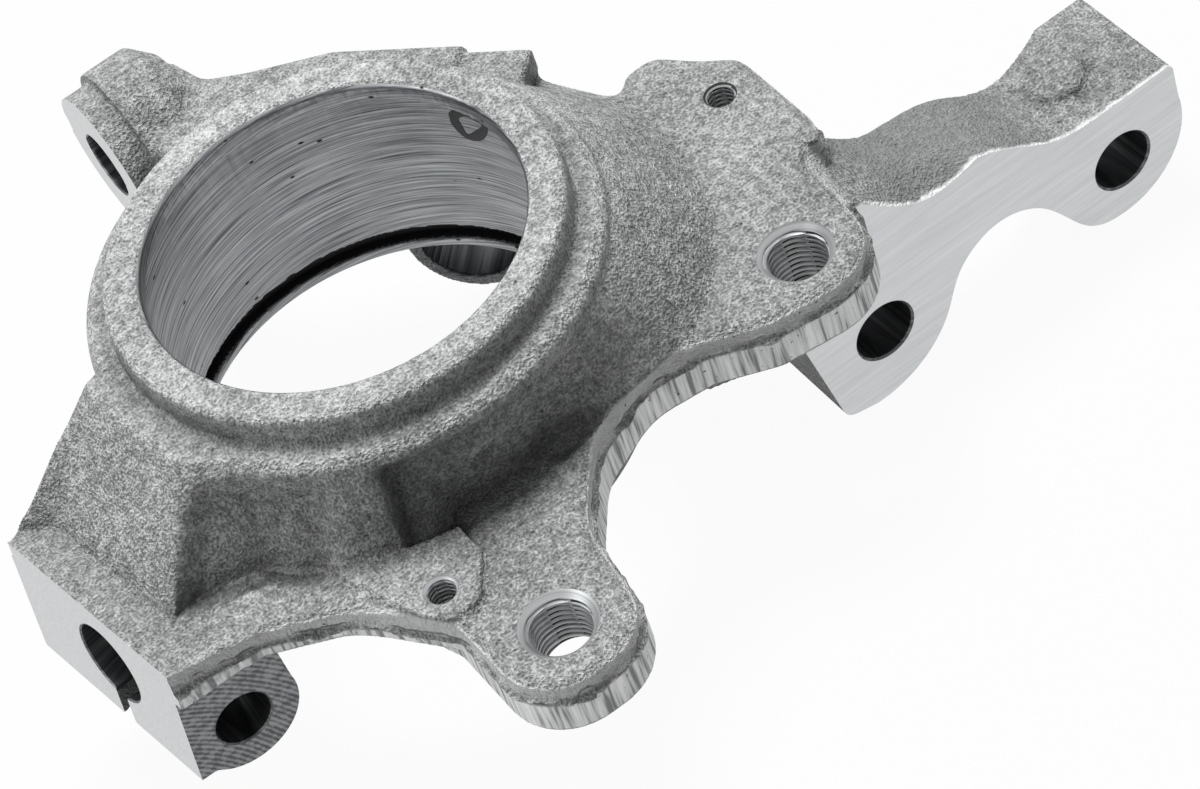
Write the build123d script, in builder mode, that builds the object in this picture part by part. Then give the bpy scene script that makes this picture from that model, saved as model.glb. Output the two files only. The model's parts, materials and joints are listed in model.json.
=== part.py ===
"""Cast-iron steering knuckle with a bearing collar, two caliper ears, strut lug, stud clamp and steering arm.

Frame: the origin is the middle of the bearing seat, +Z runs outboard along the bearing axis,
+X runs up towards the strut lug and +Y runs from the caliper side towards the steering arm.
Heights are given as drops below the outboard rim.
"""
from build123d import *
from math import cos, radians, sin
import os

# ------------------------------------------------------------------ driving sizes, mm and degrees
# Bearing collar
bore_r = 38.0              # bearing seat
seat_length = 37.5         # from the outboard shoulder to the circlip groove
lip_r = 34.0               # opening in the outboard shoulder
lip_thickness = 4.5
lip_chamfer = 1.1
relief_depth = 0.6         # undercut in the corner of seat and shoulder
relief_width = 1.2
groove_width = 3.4
groove_depth = 2.2
end_land = 2.8             # wall between the groove and the inboard face
rim_wall = 2.7             # casting outside the seat radius, at the rim
rim_bevel = 0.7
rim_height = 5.5           # rim above the shoulder ring
ring_wall = 7.6            # casting outside the seat radius, at the shoulder ring
ring_bevel = 1.2
draft = 0.6
inboard_wall = 6.8         # casting outside the seat radius, at the inboard face
inboard_bevel = 0.8

# Skirt that flares from the ring down to the flange: wall outside the seat radius at each angle
flange_top = 27.0          # flange's outboard face below the rim
skirt_walls = ((0, 25.0), (22, 23.0), (50, 15.0), (80, 12.0), (120, 11.0), (160, 11.0), (200, 12.0),
               (222, 16.5), (240, 12.5), (270, 10.5), (294, 11.0), (312, 18.0), (336, 23.5))

# Caliper ears and the web between them
ear_thickness = 11.6
upper_ear = (62.8, -39.9)
lower_ear = (-11.9, -75.2)
ear_r = 12.8
caliper_thread_r = 5.35    # tapping bore of M12 x 1.25
countersink_r = 7.4
web_round = 14.0
upper_edge = 84.5          # the upper plate's edge, above the axis
edge_round = 4.0
cast_round = 1.2
cast_bevel = 0.8           # cast edges all round the flange

# Shield screw holes
shield_thread_r = 2.5      # tapping bore of M6
upper_shield = (75.5, 0.2)
lower_shield = (-22.6, -56.5)
shield_pad_r = 6.4
shield_pad_height = 1.6

# Strut lug
lug_face = 36.0            # machined face, on the caliper side of the axis
lug_thickness = 25.8
strut_hole_r = 6.0
strut_upper = (131.4, -63.4)   # up from the axis, and drop below the rim
strut_lower = (76.4, -63.4)
lug_r = 14.2
lug_round = 3.0
arm_waist_thickness = 18.8
locating_pad_r = 5.6
locating_pad_height = 0.9

# Stud clamp
clamp_corner = (-66.0, -36.4)
clamp_width = 46.0         # along the clamp's outer face
clamp_turn = 7.5           # the outer face is turned about the bearing axis
clamp_lean = 6.3           # and leans out at its inboard end
clamp_plate = 6.5
stud_r = 8.0
stud_inset = 21.2          # from the caliper-side end of the clamp
stud_drop = 12.8           # from the flange's outboard face
clamp_slot = 3.2
clamp_depth = 24.0         # stud bore and slot, in from the outer face
clamp_bottom = 54.2        # the block's inboard face below the rim
pinch_bolt_r = 5.3
pinch_thread_r = 4.4
pinch_boss_r = 10.7
pinch_x = -57.8
pinch_drop = 20.2

# Steering arm
tie_rod = (77.0, -30.0)    # centre of the tie-rod hole, across and along the bearing axis
tie_rod_face = -13.2
tie_rod_hole_r = 6.5
tie_rod_boss_r = 14.6
hump_r = 16.4
hump_start = -8.0
hump_end = 5.6
hump_round = 4.2
arm_top = 19.0
arm_bottom = 44.0
arm_round = 5.0
arm_edge_round = 2.5

# Speed-sensor boss
sensor_angle = 45.5
sensor_face = 61.3         # flat outer face, from the bearing axis
sensor_drop = 55.0
sensor_r = 9.4
sensor_wall = 2.6
sensor_inner_face = 45.0
sensor_shoulder_low = -18.7     # the shoulder's two ends, measured along the outer face
sensor_shoulder_high = 5.0
sensor_shoulder_top = 20.6
sensor_shoulder_bottom = 46.0

# ------------------------------------------------------------------ sizes that follow
collar_height = lip_thickness + seat_length + groove_width + end_land
rim_z = lip_thickness + seat_length / 2
rim_r = bore_r + rim_wall
ring_r = bore_r + ring_wall
inboard_r = bore_r + inboard_wall
groove_start = lip_thickness + seat_length
ear_bottom = flange_top + ear_thickness
skirt_start = rim_height + 3
# drop below the rim, share of the flare reached there, and extra run-out at the foot
skirt_sections = ((skirt_start, 0.0, 0.0), (flange_top * 0.6, 0.42, 0.0), (flange_top - 4, 0.78, 0.0),
                  (flange_top + cast_round, 1.0, 1.6))
waist_y = -lug_face + arm_waist_thickness
tie_rod_drill = 2 * tie_rod_boss_r     # through the hump and the arm behind it
lug_back = -lug_face + lug_thickness
rim_plane = Plane.XY.offset(rim_z)


def skirt_outline(share, foot):
    """Points round the skirt at a share of its full flare; foot widens it where it meets the flange."""
    outline = []
    for angle, wall in skirt_walls:
        radius = ring_r + (bore_r + wall - ring_r) * share + foot
        outline.append((radius * cos(radians(angle)), radius * sin(radians(angle))))
    return outline


def side_plane(across):
    """Plane square to Y at that distance: sketches on it read (X, height above the rim)."""
    return Plane(origin=(0, across, rim_z), x_dir=(1, 0, 0), z_dir=(0, -1, 0))


sensor_plane = Plane(
    origin=(0, 0, rim_z - sensor_drop),
    x_dir=(-sin(radians(sensor_angle)), cos(radians(sensor_angle)), 0),
    z_dir=(cos(radians(sensor_angle)), sin(radians(sensor_angle)), 0),
)
clamp_axis = Vector(
    -cos(radians(clamp_lean)) * cos(radians(clamp_turn)),
    -cos(radians(clamp_lean)) * sin(radians(clamp_turn)),
    sin(radians(clamp_lean)),
)
clamp_run = Vector(-sin(radians(clamp_turn)), cos(radians(clamp_turn)), 0)
clamp_down = clamp_axis.cross(clamp_run)
clamp_top_corner = Vector(clamp_corner[0], clamp_corner[1], rim_z - flange_top)
tie_rod_plane = Plane(origin=(tie_rod_face, tie_rod[0], rim_z + tie_rod[1]), x_dir=(0, 1, 0), z_dir=(-1, 0, 0))
pinch_plane = Plane(origin=(pinch_x, clamp_corner[1], rim_z - flange_top - pinch_drop), x_dir=(1, 0, 0),
                    z_dir=(0, -1, 0))
clamp_plane = Plane(origin=clamp_top_corner, x_dir=clamp_run, z_dir=clamp_axis)
stud_plane = Plane(
    origin=clamp_top_corner + clamp_run * stud_inset + clamp_down * stud_drop,
    x_dir=clamp_run,
    z_dir=clamp_axis,
)

# ------------------------------------------------------------------ the casting
# Ear flange
with BuildPart() as flange:
    with BuildSketch(rim_plane.offset(-ear_bottom)):
        with BuildLine():
            Polyline(
                (upper_edge, 6), (upper_edge, -19), (upper_ear[0] + ear_r + 1, -23),
                (upper_ear[0] + ear_r, upper_ear[1] - ear_r - 1), (50, -50), (39, -44.5), (27, -43), (13, -49.5),
                (3.5, -62), (lower_ear[0] + ear_r - 1, lower_ear[1] - ear_r),
                (lower_ear[0] - ear_r - 0.3, lower_ear[1] - ear_r), (-25, -61), (-26.6, -56), (-27.4, -51),
                (-20, -36), (-10, -20), (20, 20), (56, 30), (63, 15), (66, 19), (73, 19), (79, 11),
                close=True,
            )
        make_face()
        fillet(vertices().sort_by_distance((upper_ear[0] + ear_r, upper_ear[1] - ear_r - 1))[0], ear_r)
        fillet(vertices().sort_by_distance((lower_ear[0] + ear_r - 1, lower_ear[1] - ear_r))[0], ear_r - 1)
        fillet(vertices().sort_by_distance((lower_ear[0] - ear_r, lower_ear[1] - ear_r))[0], ear_r - 1)
        fillet(vertices().sort_by_distance((27, -43))[0], web_round)
        fillet(vertices().sort_by_distance((13, -49.5))[0], web_round)
        fillet(vertices().sort_by_distance((50, -50))[0], web_round / 2)
        fillet(vertices().sort_by_distance((39, -44.5))[0], web_round / 2)
        fillet(vertices().sort_by_distance((3.5, -62))[0], web_round)
        fillet(vertices().sort_by_distance((upper_edge, -19))[0], edge_round)
        fillet(vertices().sort_by_distance((upper_edge, 6))[0], edge_round)
        fillet(vertices().sort_by_distance((79, 11))[0], edge_round)
        fillet(vertices().sort_by_distance((73, 19))[0], edge_round / 2)
        fillet(vertices().sort_by_distance((66, 19))[0], edge_round / 2)
    extrude(amount=ear_thickness)
    chamfer(flange.edges().group_by(Axis.Z)[-1] + flange.edges().group_by(Axis.Z)[0], cast_bevel)

# Collar: rim, shoulder ring and the wall round the bearing seat, turned as one profile
with BuildPart() as collar:
    with BuildSketch(side_plane(0)):
        with BuildLine():
            Polyline(
                (0, 0),
                (rim_r, 0),
                (rim_r + draft, -rim_height),
                (ring_r, -rim_height - draft),
                (ring_r + draft, -skirt_start),
                (inboard_r + draft, -flange_top),
                (inboard_r, -collar_height),
                (0, -collar_height),
                close=True,
            )
        make_face()
        chamfer(vertices().sort_by_distance((rim_r, 0))[0], rim_bevel)
        chamfer(vertices().sort_by_distance((ring_r, -rim_height))[0], ring_bevel)
        chamfer(vertices().sort_by_distance((inboard_r, -collar_height))[0], inboard_bevel)
    revolve(axis=Axis.Z)

# Skirt: flares from the ring to an uneven foot on the flange
with BuildPart() as skirt:
    for drop, share, foot in skirt_sections:
        with BuildSketch(rim_plane.offset(-drop)):
            with BuildLine():
                Spline(*skirt_outline(share, foot), periodic=True)
            make_face()
    loft()

# Facet above the clamp, between its ridge and the gusset that runs to the clamp's far corner
with BuildPart() as facet:
    with BuildSketch(rim_plane.offset(-rim_height)):
        Polygon((-20, 14), (-47.2, 9), (-47.8, 6.5), (-44.8, -18.5), (-36, -26), (-20, -20), align=None)
    with BuildSketch(rim_plane.offset(-flange_top - cast_round)):
        Polygon((-20, 14), (-71.6, 10), (-65, 5), (-60.5, -29), (-44, -33), (-20, -20), align=None)
    loft(ruled=True)

# Clamp: plate, and a block whose end face leans out and whose inboard edge is round about the pinch bolt
with BuildPart() as clamp:
    with BuildSketch(rim_plane.offset(-flange_top - clamp_plate)):
        Polygon((-10, -20), (-18, -50), (-25.5, -63), (-33, -52), (-37, -47), (-50, -40), clamp_corner,
                (-71.5, 9.5), (-45, 14), align=None)
        fillet(vertices().sort_by_distance((-37, -47))[0], web_round)
    extrude(amount=clamp_plate)
    with BuildSketch(side_plane(clamp_corner[1])):
        with Locations((pinch_x, -flange_top - pinch_drop)):
            Circle(pinch_boss_r)
        Polygon((pinch_x, -flange_top), (-48.2, -flange_top), (-47.2, -flange_top - pinch_drop),
                (pinch_x, -flange_top - pinch_drop), align=None)
        Polygon((-80, -flange_top), (pinch_x, -flange_top), (pinch_x, -clamp_bottom), (-80, -clamp_bottom),
                align=None)
    extrude(amount=-clamp_width)
    split(bisect_by=clamp_plane, keep=Keep.BOTTOM)

# Strut lug: two lobes on a curved arm, waisted behind
with BuildPart() as lug:
    with BuildSketch(side_plane(-lug_face)):
        with BuildLine():
            Spline((strut_lower[0], -ear_bottom + 7), (91, -37.5), (104, -39.5), (113, -44.5),
                   (strut_upper[0] - 4, strut_upper[1] + lug_r), tangents=[(1, -0.25), (1, 0)])
            Polyline((strut_upper[0] - 4, strut_upper[1] + lug_r), (strut_upper[0] + lug_r, strut_upper[1] + lug_r),
                     (strut_upper[0] + lug_r, strut_upper[1] + 6))
            ThreePointArc((strut_upper[0] + lug_r, strut_upper[1] + 6), (strut_upper[0] + 10, strut_upper[1] - 7.6),
                          (strut_upper[0] - 4, strut_upper[1] - 12.4))
            Spline((strut_upper[0] - 4, strut_upper[1] - 12.4), (strut_upper[0] - 12, strut_upper[1] - 7),
                   (strut_upper[0] - 19, strut_upper[1] + 2.9), (strut_lower[0] + 26.6, strut_lower[1] + 6.2),
                   (strut_lower[0] + 18.6, strut_lower[1] + 2.6), (strut_lower[0] + lug_r, strut_lower[1] - 4),
                   tangents=[(-1, 0.1), (-0.5, -1)])
            ThreePointArc((strut_lower[0] + lug_r, strut_lower[1] - 4), (strut_lower[0] + 6.2, strut_lower[1] - 12.8),
                          (strut_lower[0] - 5.4, strut_lower[1] - 15.6))
            Polyline((strut_lower[0] - 5.4, strut_lower[1] - 15.6), (strut_lower[0] - 12, strut_lower[1] - 14),
                     (strut_lower[0] - 16.4, -53), (40, -46), (40, -ear_bottom + 7),
                     (strut_lower[0], -ear_bottom + 7))
        make_face()
        fillet(vertices().sort_by_distance((strut_upper[0] + lug_r, strut_upper[1] + lug_r))[0], cast_round)
        fillet(vertices().sort_by_distance((strut_lower[0] - 12, strut_lower[1] - 14))[0], lug_round)
    extrude(amount=-lug_thickness)
    with BuildSketch(rim_plane.offset(strut_lower[1] - lug_r * 2)):
        with BuildLine():
            ThreePointArc((strut_lower[0] + 4, lug_back + 1), (strut_lower[0] + 8.5, waist_y + 3.2),
                          (strut_lower[0] + lug_r, waist_y))
            Line((strut_lower[0] + lug_r, waist_y), (strut_upper[0] - lug_r - 4, waist_y))
            ThreePointArc((strut_upper[0] - lug_r - 4, waist_y), (strut_upper[0] - 7.5, waist_y + 2.6),
                          (strut_upper[0] + 4, lug_back + 0.5))
            Line((strut_upper[0] + 4, lug_back + 0.5), (strut_lower[0] + 4, lug_back + 1))
        make_face()
    extrude(amount=lug_r * 4, mode=Mode.SUBTRACT)
    with BuildSketch(rim_plane.offset(strut_upper[1] + lug_r)):
        with Locations((strut_upper[0] - 2.5, -lug_face + lug_thickness / 2)):
            Circle(locating_pad_r)
    extrude(amount=locating_pad_height)
    fillet(lug.edges().group_by(Axis.Z)[-1], locating_pad_height / 2)

# Steering arm, its hump and the tie-rod boss
with BuildPart() as arm:
    with BuildSketch(rim_plane.offset(-arm_bottom)):
        Polygon((-12, 36), (-7, 62), (-7, tie_rod[0] + 3), (7, tie_rod[0] + 3), (9, 71), (16, 66), (30, 58), (48, 40),
                (30, 20), (0, 30), align=None)
        fillet(vertices().sort_by_distance((9, 71))[0], arm_round)
        fillet(vertices().sort_by_distance((-7, 62))[0], arm_round)
    extrude(amount=arm_bottom - arm_top)
    fillet(arm.edges().group_by(Axis.Z)[-1], arm_edge_round)
    with BuildSketch(side_plane(tie_rod[0])):
        with BuildLine():
            Polyline((hump_start, tie_rod[1]), (hump_start, tie_rod[1] + hump_r),
                     (hump_end - hump_round, tie_rod[1] + hump_r))
            Line((hump_end - hump_round, tie_rod[1] + hump_r), (hump_end, tie_rod[1] + hump_r - hump_round))
            Polyline((hump_end, tie_rod[1] + hump_r - hump_round), (hump_end, tie_rod[1]), (hump_start, tie_rod[1]))
        make_face()
    revolve(axis=Axis((0, tie_rod[0], rim_z + tie_rod[1]), (1, 0, 0)))
    with BuildSketch(Plane(tie_rod_plane.origin, x_dir=(0, 1, 0), z_dir=(1, 0, 0))):
        Circle(tie_rod_boss_r)
    extrude(amount=hump_start - tie_rod_face)

# Speed-sensor shoulder and boss
with BuildPart() as sensor:
    with BuildSketch(rim_plane.rotated((0, 0, sensor_angle)).offset(-sensor_shoulder_bottom)):
        Polygon((30, sensor_shoulder_low), (sensor_face, sensor_shoulder_low),
                (sensor_face, sensor_shoulder_high), (30, sensor_shoulder_high), align=None)
    extrude(amount=sensor_shoulder_bottom - sensor_shoulder_top)
    fillet(sensor.edges().group_by(Axis.Z)[-1], cast_round)
    with BuildSketch(sensor_plane.offset(sensor_inner_face)):
        Circle(sensor_r + sensor_wall)
    extrude(amount=sensor_face - sensor_inner_face)

# Shield screw pad, standing on the lower ear
with BuildPart() as shield_pad:
    with BuildSketch(rim_plane.offset(-flange_top - cast_round)):
        with Locations(lower_shield):
            Polygon((-11.4, 16.5), (-6, -0.5), (-2.5, -shield_pad_r), (3.8, -shield_pad_r), (10, 2.5), (10.6, 16.5),
                    align=None)
        fillet(vertices().group_by(Axis.Y)[0], shield_pad_r / 2)
        fillet(vertices().sort_by(Axis.X)[-2], shield_pad_r / 2)
    extrude(amount=shield_pad_height + cast_round)
    fillet(shield_pad.edges().group_by(Axis.Z)[-1], shield_pad_height / 2)

# ------------------------------------------------------------------ one casting, then machined
with BuildPart() as knuckle:
    add(collar.part)
    add(skirt.part)
    add(facet.part)
    add(flange.part)
    add(clamp.part)
    add(lug.part)
    add(arm.part)
    add(sensor.part)
    add(shield_pad.part)

    # Bearing bore, shoulder opening, relief, circlip groove
    with BuildSketch(side_plane(0)):
        with BuildLine():
            Polyline(
                (0, 1),
                (lip_r + lip_chamfer, 1),
                (lip_r + lip_chamfer, 0),
                (lip_r, -lip_chamfer / 2),
                (lip_r, -lip_thickness),
                (bore_r + relief_depth, -lip_thickness),
                (bore_r + relief_depth, -lip_thickness - relief_width),
                (bore_r, -lip_thickness - relief_width),
                (bore_r, -groove_start),
                (bore_r + groove_depth, -groove_start),
                (bore_r + groove_depth, -groove_start - groove_width),
                (bore_r, -groove_start - groove_width),
                (bore_r, -collar_height + 1),
                (bore_r + 1, -collar_height),
                (bore_r + 1, -collar_height - 40),
                (0, -collar_height - 40),
                close=True,
            )
        make_face()
    revolve(axis=Axis.Z, mode=Mode.SUBTRACT)

    # Caliper bolt holes
    with Locations(*[Plane((x, y, rim_z - flange_top)) for x, y in (upper_ear, lower_ear)]):
        CounterSinkHole(caliper_thread_r, countersink_r, ear_thickness + 0.5, counter_sink_angle=90)

    # Shield screw holes
    with Locations(Plane((*upper_shield, rim_z - flange_top))):
        Hole(shield_thread_r, ear_thickness)
    with Locations(Plane((*lower_shield, rim_z - flange_top + shield_pad_height))):
        Hole(shield_thread_r, ear_thickness)

    # Strut bolt holes
    with Locations(*[Plane(origin=(x, -lug_face, rim_z + z), x_dir=(1, 0, 0), z_dir=(0, -1, 0))
                     for x, z in (strut_upper, strut_lower)]):
        Hole(strut_hole_r, lug_thickness + 1)

    # Stud bore, clamp slot and pinch bolt hole: clearance in the near half, thread in the far half
    with BuildSketch(stud_plane):
        Circle(stud_r)
        with Locations((0, collar_height / 2)):
            Rectangle(clamp_slot, collar_height)
    extrude(amount=-clamp_depth, mode=Mode.SUBTRACT)
    with Locations(pinch_plane):
        Hole(pinch_thread_r, clamp_width + 6)
        Hole(pinch_bolt_r, stud_inset)

    # Tie-rod hole
    with Locations(tie_rod_plane):
        Hole(tie_rod_hole_r, tie_rod_drill)

    # Speed-sensor hole
    with Locations(sensor_plane.offset(sensor_face)):
        Hole(sensor_r, sensor_face - sensor_inner_face)

knuckle.part.label = "knuckle_casting"
os.makedirs("parts", exist_ok=True)
export_step(knuckle.part, "parts/knuckle_casting.step")
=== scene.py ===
"""Steering knuckle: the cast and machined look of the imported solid.

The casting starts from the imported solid: its holes are plugged and its machined faces get stock, the whole is
remeshed and softened as sand-cast iron is, and then every bore, thread and machined face is cut back to size.
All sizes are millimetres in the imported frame; meshes are written in metres.
"""

import json
import logging
import math
from dataclasses import dataclass
from enum import Enum, IntEnum

import bmesh
import bpy
import numpy as np
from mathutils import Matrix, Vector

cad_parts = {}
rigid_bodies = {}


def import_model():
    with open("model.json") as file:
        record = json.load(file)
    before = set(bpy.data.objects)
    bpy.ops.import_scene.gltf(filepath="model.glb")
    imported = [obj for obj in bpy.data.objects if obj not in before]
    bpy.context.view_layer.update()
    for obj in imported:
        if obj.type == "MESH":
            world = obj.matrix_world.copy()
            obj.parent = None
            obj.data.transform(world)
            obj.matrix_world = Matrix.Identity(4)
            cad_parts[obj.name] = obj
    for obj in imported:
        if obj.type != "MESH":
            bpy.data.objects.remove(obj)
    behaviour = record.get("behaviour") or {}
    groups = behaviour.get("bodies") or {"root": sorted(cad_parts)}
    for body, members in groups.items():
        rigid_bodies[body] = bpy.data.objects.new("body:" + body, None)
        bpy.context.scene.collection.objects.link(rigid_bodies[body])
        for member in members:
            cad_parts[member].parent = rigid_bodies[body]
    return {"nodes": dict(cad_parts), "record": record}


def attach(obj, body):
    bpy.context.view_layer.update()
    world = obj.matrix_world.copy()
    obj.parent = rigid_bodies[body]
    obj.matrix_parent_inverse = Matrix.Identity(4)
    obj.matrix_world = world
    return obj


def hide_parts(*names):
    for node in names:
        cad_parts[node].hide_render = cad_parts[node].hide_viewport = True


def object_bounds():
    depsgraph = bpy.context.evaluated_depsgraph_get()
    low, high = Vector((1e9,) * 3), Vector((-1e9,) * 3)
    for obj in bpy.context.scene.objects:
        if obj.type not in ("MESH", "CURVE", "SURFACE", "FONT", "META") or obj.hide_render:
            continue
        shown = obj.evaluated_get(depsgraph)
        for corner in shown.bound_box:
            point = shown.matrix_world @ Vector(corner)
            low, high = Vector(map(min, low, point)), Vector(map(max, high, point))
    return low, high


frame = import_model()
CAD_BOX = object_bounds()

MM = 0.001
NODE = "knuckle_casting"
UP = (0.0, 0.0, 1.0)
log = logging.getLogger("knuckle")

Colour = tuple[float, float, float, float]
Socket = bpy.types.NodeSocket
Tree = bpy.types.NodeTree


# ---------------------------------------------------------------- colours and nodes
def srgb(code: str) -> Colour:
    """Linear colour of an sRGB hex code.

    Args:
        code: six hex digits.
    Returns:
        Linear red, green, blue and an alpha of one.
    """
    parts = [int(code[i:i + 2], 16) / 255 for i in (0, 2, 4)]
    return tuple(c / 12.92 if c <= 0.04045 else ((c + 0.055) / 1.055) ** 2.4 for c in parts) + (1.0,)


def add_node(tree: Tree, kind: str, links: dict | None = None, stops: tuple[tuple[float, str], ...] = (),
             **settings) -> bpy.types.NodeOutputs:
    """Add one shader node with its settings and links.

    Args:
        tree: the material's node tree.
        kind: the node's type name after its ShaderNode prefix.
        links: input name or number to a socket, a number or a colour.
        stops: a colour ramp's positions and sRGB colour codes, two or more.
        settings: attributes of the node itself.
    Returns:
        The new node's outputs.
    """
    node = tree.nodes.new(f"ShaderNode{kind}")
    for name, value in settings.items():
        setattr(node, name, value)
    for name, value in (links or {}).items():
        if isinstance(value, Socket):
            tree.links.new(value, node.inputs[name])
        else:
            node.inputs[name].default_value = value
    if stops:
        elements = node.color_ramp.elements
        while len(elements) < len(stops):
            elements.new(0.5)
        for element, (position, code) in zip(elements, stops):
            element.position = position
            element.color = srgb(code)
    return node.outputs


def overlap(tree: Tree, *fades: tuple) -> Socket:
    """Mask that is strong only where every fade is: their product.

    Args:
        tree: the material's node tree.
        fades: a value, where it counts for nothing, where it counts in full and, if not 1, how much that is;
            or a mask alone.
    Returns:
        The mask.
    """
    mask = None
    for value, *limits in fades:
        if limits:
            sockets = dict(zip(("From Min", "From Max", "To Max"), limits))
            value = add_node(tree, "MapRange", {"Value": value} | sockets)[0]
        mask = value if mask is None else add_node(tree, "Math", {0: mask, 1: value}, operation="MULTIPLY")[0]
    return mask


def layered(tree: Tree, base: Socket, layers: list[tuple[Socket, Socket | Colour]]) -> Socket:
    """Colour with others laid over it in order.

    Args:
        tree: the material's node tree.
        base: the colour underneath.
        layers: the mask and colour of each layer.
    Returns:
        The colour on top.
    """
    for mask, colour in layers:
        base = add_node(tree, "MixRGB", {"Fac": mask, "Color1": base, "Color2": colour})[0]
    return base


def new_material(name: str) -> bpy.types.Material:
    """Material with an empty node tree.

    Args:
        name: the material's name.
    Returns:
        The material.
    """
    material = bpy.data.materials.new(name)
    material.use_nodes = True
    material.node_tree.nodes.clear()
    return material


def seen_directly(tree: Tree) -> Socket:
    """What is seen straight or in a reflection, as against what only lights other things.

    Args:
        tree: the node tree of a world or a material.
    Returns:
        The mask, 1 where it is seen.
    """
    path = add_node(tree, "LightPath")
    straight, reflected = path["Is Camera Ray"], path["Is Glossy Ray"]
    return add_node(tree, "Math", {0: straight, 1: reflected}, operation="MAXIMUM")[0]


@dataclass(frozen=True)
class CastSkin:
    """Shot-blasted sand-cast grey iron: matt, mid grey, evenly pitted by sand and shot."""

    parting: float             # height of the parting line
    band: float                # depth of the trimmed band below it
    name: str = "cast_iron_shot_blasted"
    hollow: str = "414342"
    body: str = "7b7d7c"
    crest: str = "c6c8c7"
    shade_and_pit_dark: str = "1e1f1f"      # painted shade in creases and under the flash ridge, and the dark of sand holes
    edge_highlight: str = "dcdddd"       # painted highlight along the edge of the lug's machined face
    lip_highlight: str = "ebecec"        # painted highlight on the rounded lip above the parting line
    waist_shade: str = "6a6c6c"      # painted shade on the strut lug's waist
    scores: tuple[tuple[float, str], ...] = ((0.36, "808283"), (0.47, "cdcfcf"), (0.66, "ebebeb"))
    roughness: float = 0.6
    grain_mm: float = 0.52     # sand grains are about 0.3 mm, drawn coarser so that they show
    pit_mm: float = 1.9        # shot dents are under 1 mm, drawn coarser so that they show
    cloud_mm: float = 24.0     # patches that cooled or were blasted a little differently
    score_mm: float = 0.95     # press scores are about 0.5 mm apart, drawn coarser so that they show
    hole_mm: float = 1.0       # sand holes, at their real size
    wobble_mm: float = 3.5       # length of the wobbles along the painted edge lines
    grain_depth: float = 1.05
    crease_shade_reach: float = 8.0   # how closed in a surface is, for the painted crease shade, gets judged over this distance
    waist_x: float = 101.0     # middle of the lug's waist
    trimmed_r: float = 47.8    # the trimmed wall lies beyond this radius
    trimmed_y: float = 22.0    # and on this side of the steering arm

    def build(self) -> bpy.types.Material:
        """Make the material: one skin, with foundry and shop marks and painted light and shade laid over in
        order.

        Returns:
            The finished material.
        """
        material = new_material(self.name)
        tree = material.node_tree
        place = add_node(tree, "TexCoord")["Object"]
        spot = add_node(tree, "SeparateXYZ", {
            "Vector": add_node(tree, "VectorMath", {0: place, "Scale": 1 / MM}, operation="SCALE")[0]})
        relief, colour = self.grain(tree, place, spot)
        flat, wall = self.trimmed_wall(tree, place)
        wall_here = overlap(tree, (flat, 0.35, 0.15), (wall,))
        band = overlap(tree, (spot["Z"], self.parting + 0.2, self.parting - 0.5),
                       (spot["Z"], self.parting - self.band - 1, self.parting - self.band), (wall_here,))
        squash = add_node(tree, "Mapping", {"Vector": place, "Scale": (1, 1, 0.06)})[0]
        scores, wobble = (
            add_node(tree, "TexNoise", {"Vector": spread, "Scale": 1 / (size * MM), "Detail": 2.0})[0]
            for spread, size in ((squash, self.score_mm), (place, self.wobble_mm)))
        colour = layered(tree, colour, [
            # painted shade on the lug's waist
            (self.painted_waist_shade(tree, spot), srgb(self.waist_shade)),
            (band, add_node(tree, "ValToRGB", {"Fac": scores}, self.scores)[0]),
            # painted highlight on the rounded lip
            (self.painted_lip_highlight(tree, spot, flat, wall), srgb(self.lip_highlight)),
            # painted shade in the creases
            (self.painted_crease_shade(tree), srgb(self.shade_and_pit_dark)),
            # painted shade under the flash ridge
            (self.painted_shade_under_flash(tree, spot, wobble, wall_here), srgb(self.shade_and_pit_dark)),
            (self.in_sand_holes(tree, place), srgb(self.shade_and_pit_dark)),
            # painted highlight along the lug face's edge
            (self.painted_edge_highlight(tree, spot, wobble), srgb(self.edge_highlight))])
        height = add_node(tree, "Mix", {0: band, 2: relief, 3: scores}, data_type="FLOAT")[0]
        bump = add_node(tree, "Bump", {"Height": height, "Strength": 0.85,
                                       "Distance": self.grain_depth * MM})[0]
        bare = add_node(tree, "Math", {0: band, 1: 0.4}, operation="MULTIPLY")[0]
        shader = add_node(tree, "BsdfPrincipled", {"Base Color": colour, "Metallic": bare,
                                                   "Roughness": self.roughness, "Normal": bump})
        add_node(tree, "OutputMaterial", {"Surface": shader[0]})
        return material

    def grain(self, tree: Tree, place: Socket, spot: bpy.types.NodeOutputs) -> tuple[Socket, Socket]:
        """Blasted grain: relief = grain + 0.6 pits; tone = relief + 0.35 cloud, raised towards the collar top
        as painted light.

        Args:
            tree: the material's node tree.
            place: the point in metres.
            spot: the point's X, Y and Z in mm.
        Returns:
            The relief and the colour.
        """
        fine, pits, cloud = (
            add_node(tree, "TexNoise", {"Vector": place, "Scale": 1 / (size * MM), "Detail": 2.0})[0]
            for size in (self.grain_mm, self.pit_mm, self.cloud_mm))
        relief = add_node(tree, "Math", {0: pits, 1: 0.6, 2: fine}, operation="MULTIPLY_ADD")[0]
        tone = add_node(tree, "Math", {0: cloud, 1: 0.35, 2: relief}, operation="MULTIPLY_ADD")[0]
        # painted light: tone raised by up to 0.06 towards the collar top
        painted_collar_light = overlap(tree, (spot["Z"], self.parting + 18, self.parting + 28, 0.06))
        tone = add_node(tree, "Math", {0: tone, 1: painted_collar_light}, operation="ADD")[0]
        stops = ((0.0, self.hollow), (0.42, self.body), (1.0, self.crest))
        return relief, add_node(tree, "ValToRGB", {"Fac": overlap(tree, (tone, 0.66, 1.3))}, stops)[0]

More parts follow.
